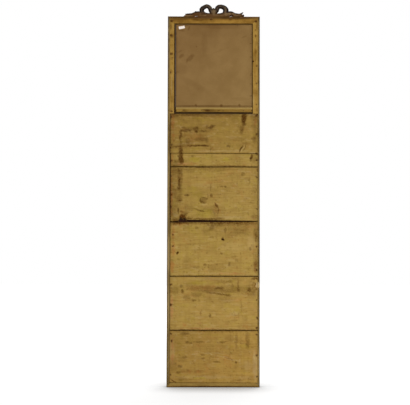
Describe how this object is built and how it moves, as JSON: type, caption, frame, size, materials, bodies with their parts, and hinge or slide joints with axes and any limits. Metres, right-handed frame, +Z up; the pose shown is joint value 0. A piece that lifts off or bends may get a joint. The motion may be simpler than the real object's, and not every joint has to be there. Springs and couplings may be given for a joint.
{
  "type": "pier mirror",
  "caption": "Tall narrow pier mirror with a gilt moulded frame, a painted upper field with a laurel wreath, a carved ribbon-bow crest and a boarded back.",
  "frame": {"origin": "centre of the base, halfway through the depth", "axes": "+X to the right as seen from the glass, -Y the glass side, +Y the boarded back, +Z up"},
  "size_m": [0.46, 0.04, 1.9095],
  "materials": {
    "frame_wood": "aged softwood, grey-brown stain",
    "plain_wood": "bare softwood",
    "board_wood": "aged bare softwood",
    "strip_wood": "aged bare softwood",
    "gilding": "water gilding over red bole",
    "mirror_glass": "silvered at the back",
    "panel_paint": "matt paint",
    "brown_board": "matt",
    "label_paper": "matt",
    "iron": "rusted",
    "crest_wood": "dark stained carving"
  },
  "bodies": {
    "root": {"stile_left": "frame_wood", "stile_right": "frame_wood", "top_rail": "frame_wood", "mid_rail": "plain_wood", "bottom_rail": "frame_wood", "corner_keys": "frame_wood", "joint_pegs": "plain_wood", "moulding_left": "gilding", "moulding_right": "gilding", "moulding_top": "gilding", "moulding_bottom": "gilding", "upper_bead_left": "gilding", "upper_bead_right": "gilding", "upper_bead_top": "gilding", "upper_bead_bottom": "gilding", "lower_bead_left": "gilding", "lower_bead_right": "gilding", "lower_bead_top": "gilding", "lower_bead_bottom": "gilding", "fluted_frieze": "gilding", "frieze_rosettes": "gilding", "mirror_plate": "mirror_glass", "glazing_blocks": "plain_wood", "painted_panel": "panel_paint", "laurel_wreath": "gilding", "backing_board": "brown_board", "panel_brads": "iron", "paper_label": "label_paper", "edge_strip_left": "strip_wood", "edge_strip_right": "strip_wood", "edge_strip_top": "strip_wood", "cross_batten": "strip_wood", "backboard_1": "board_wood", "backboard_1_lower_strip": "board_wood", "backboard_2": "board_wood", "backboard_3": "board_wood", "backboard_4": "board_wood", "backboard_5": "board_wood", "backboard_nails": "iron", "edge_strip_nails": "iron", "batten_nails": "iron", "crest": "crest_wood", "crest_dowels": "plain_wood"}
  },
  "joints": []
}
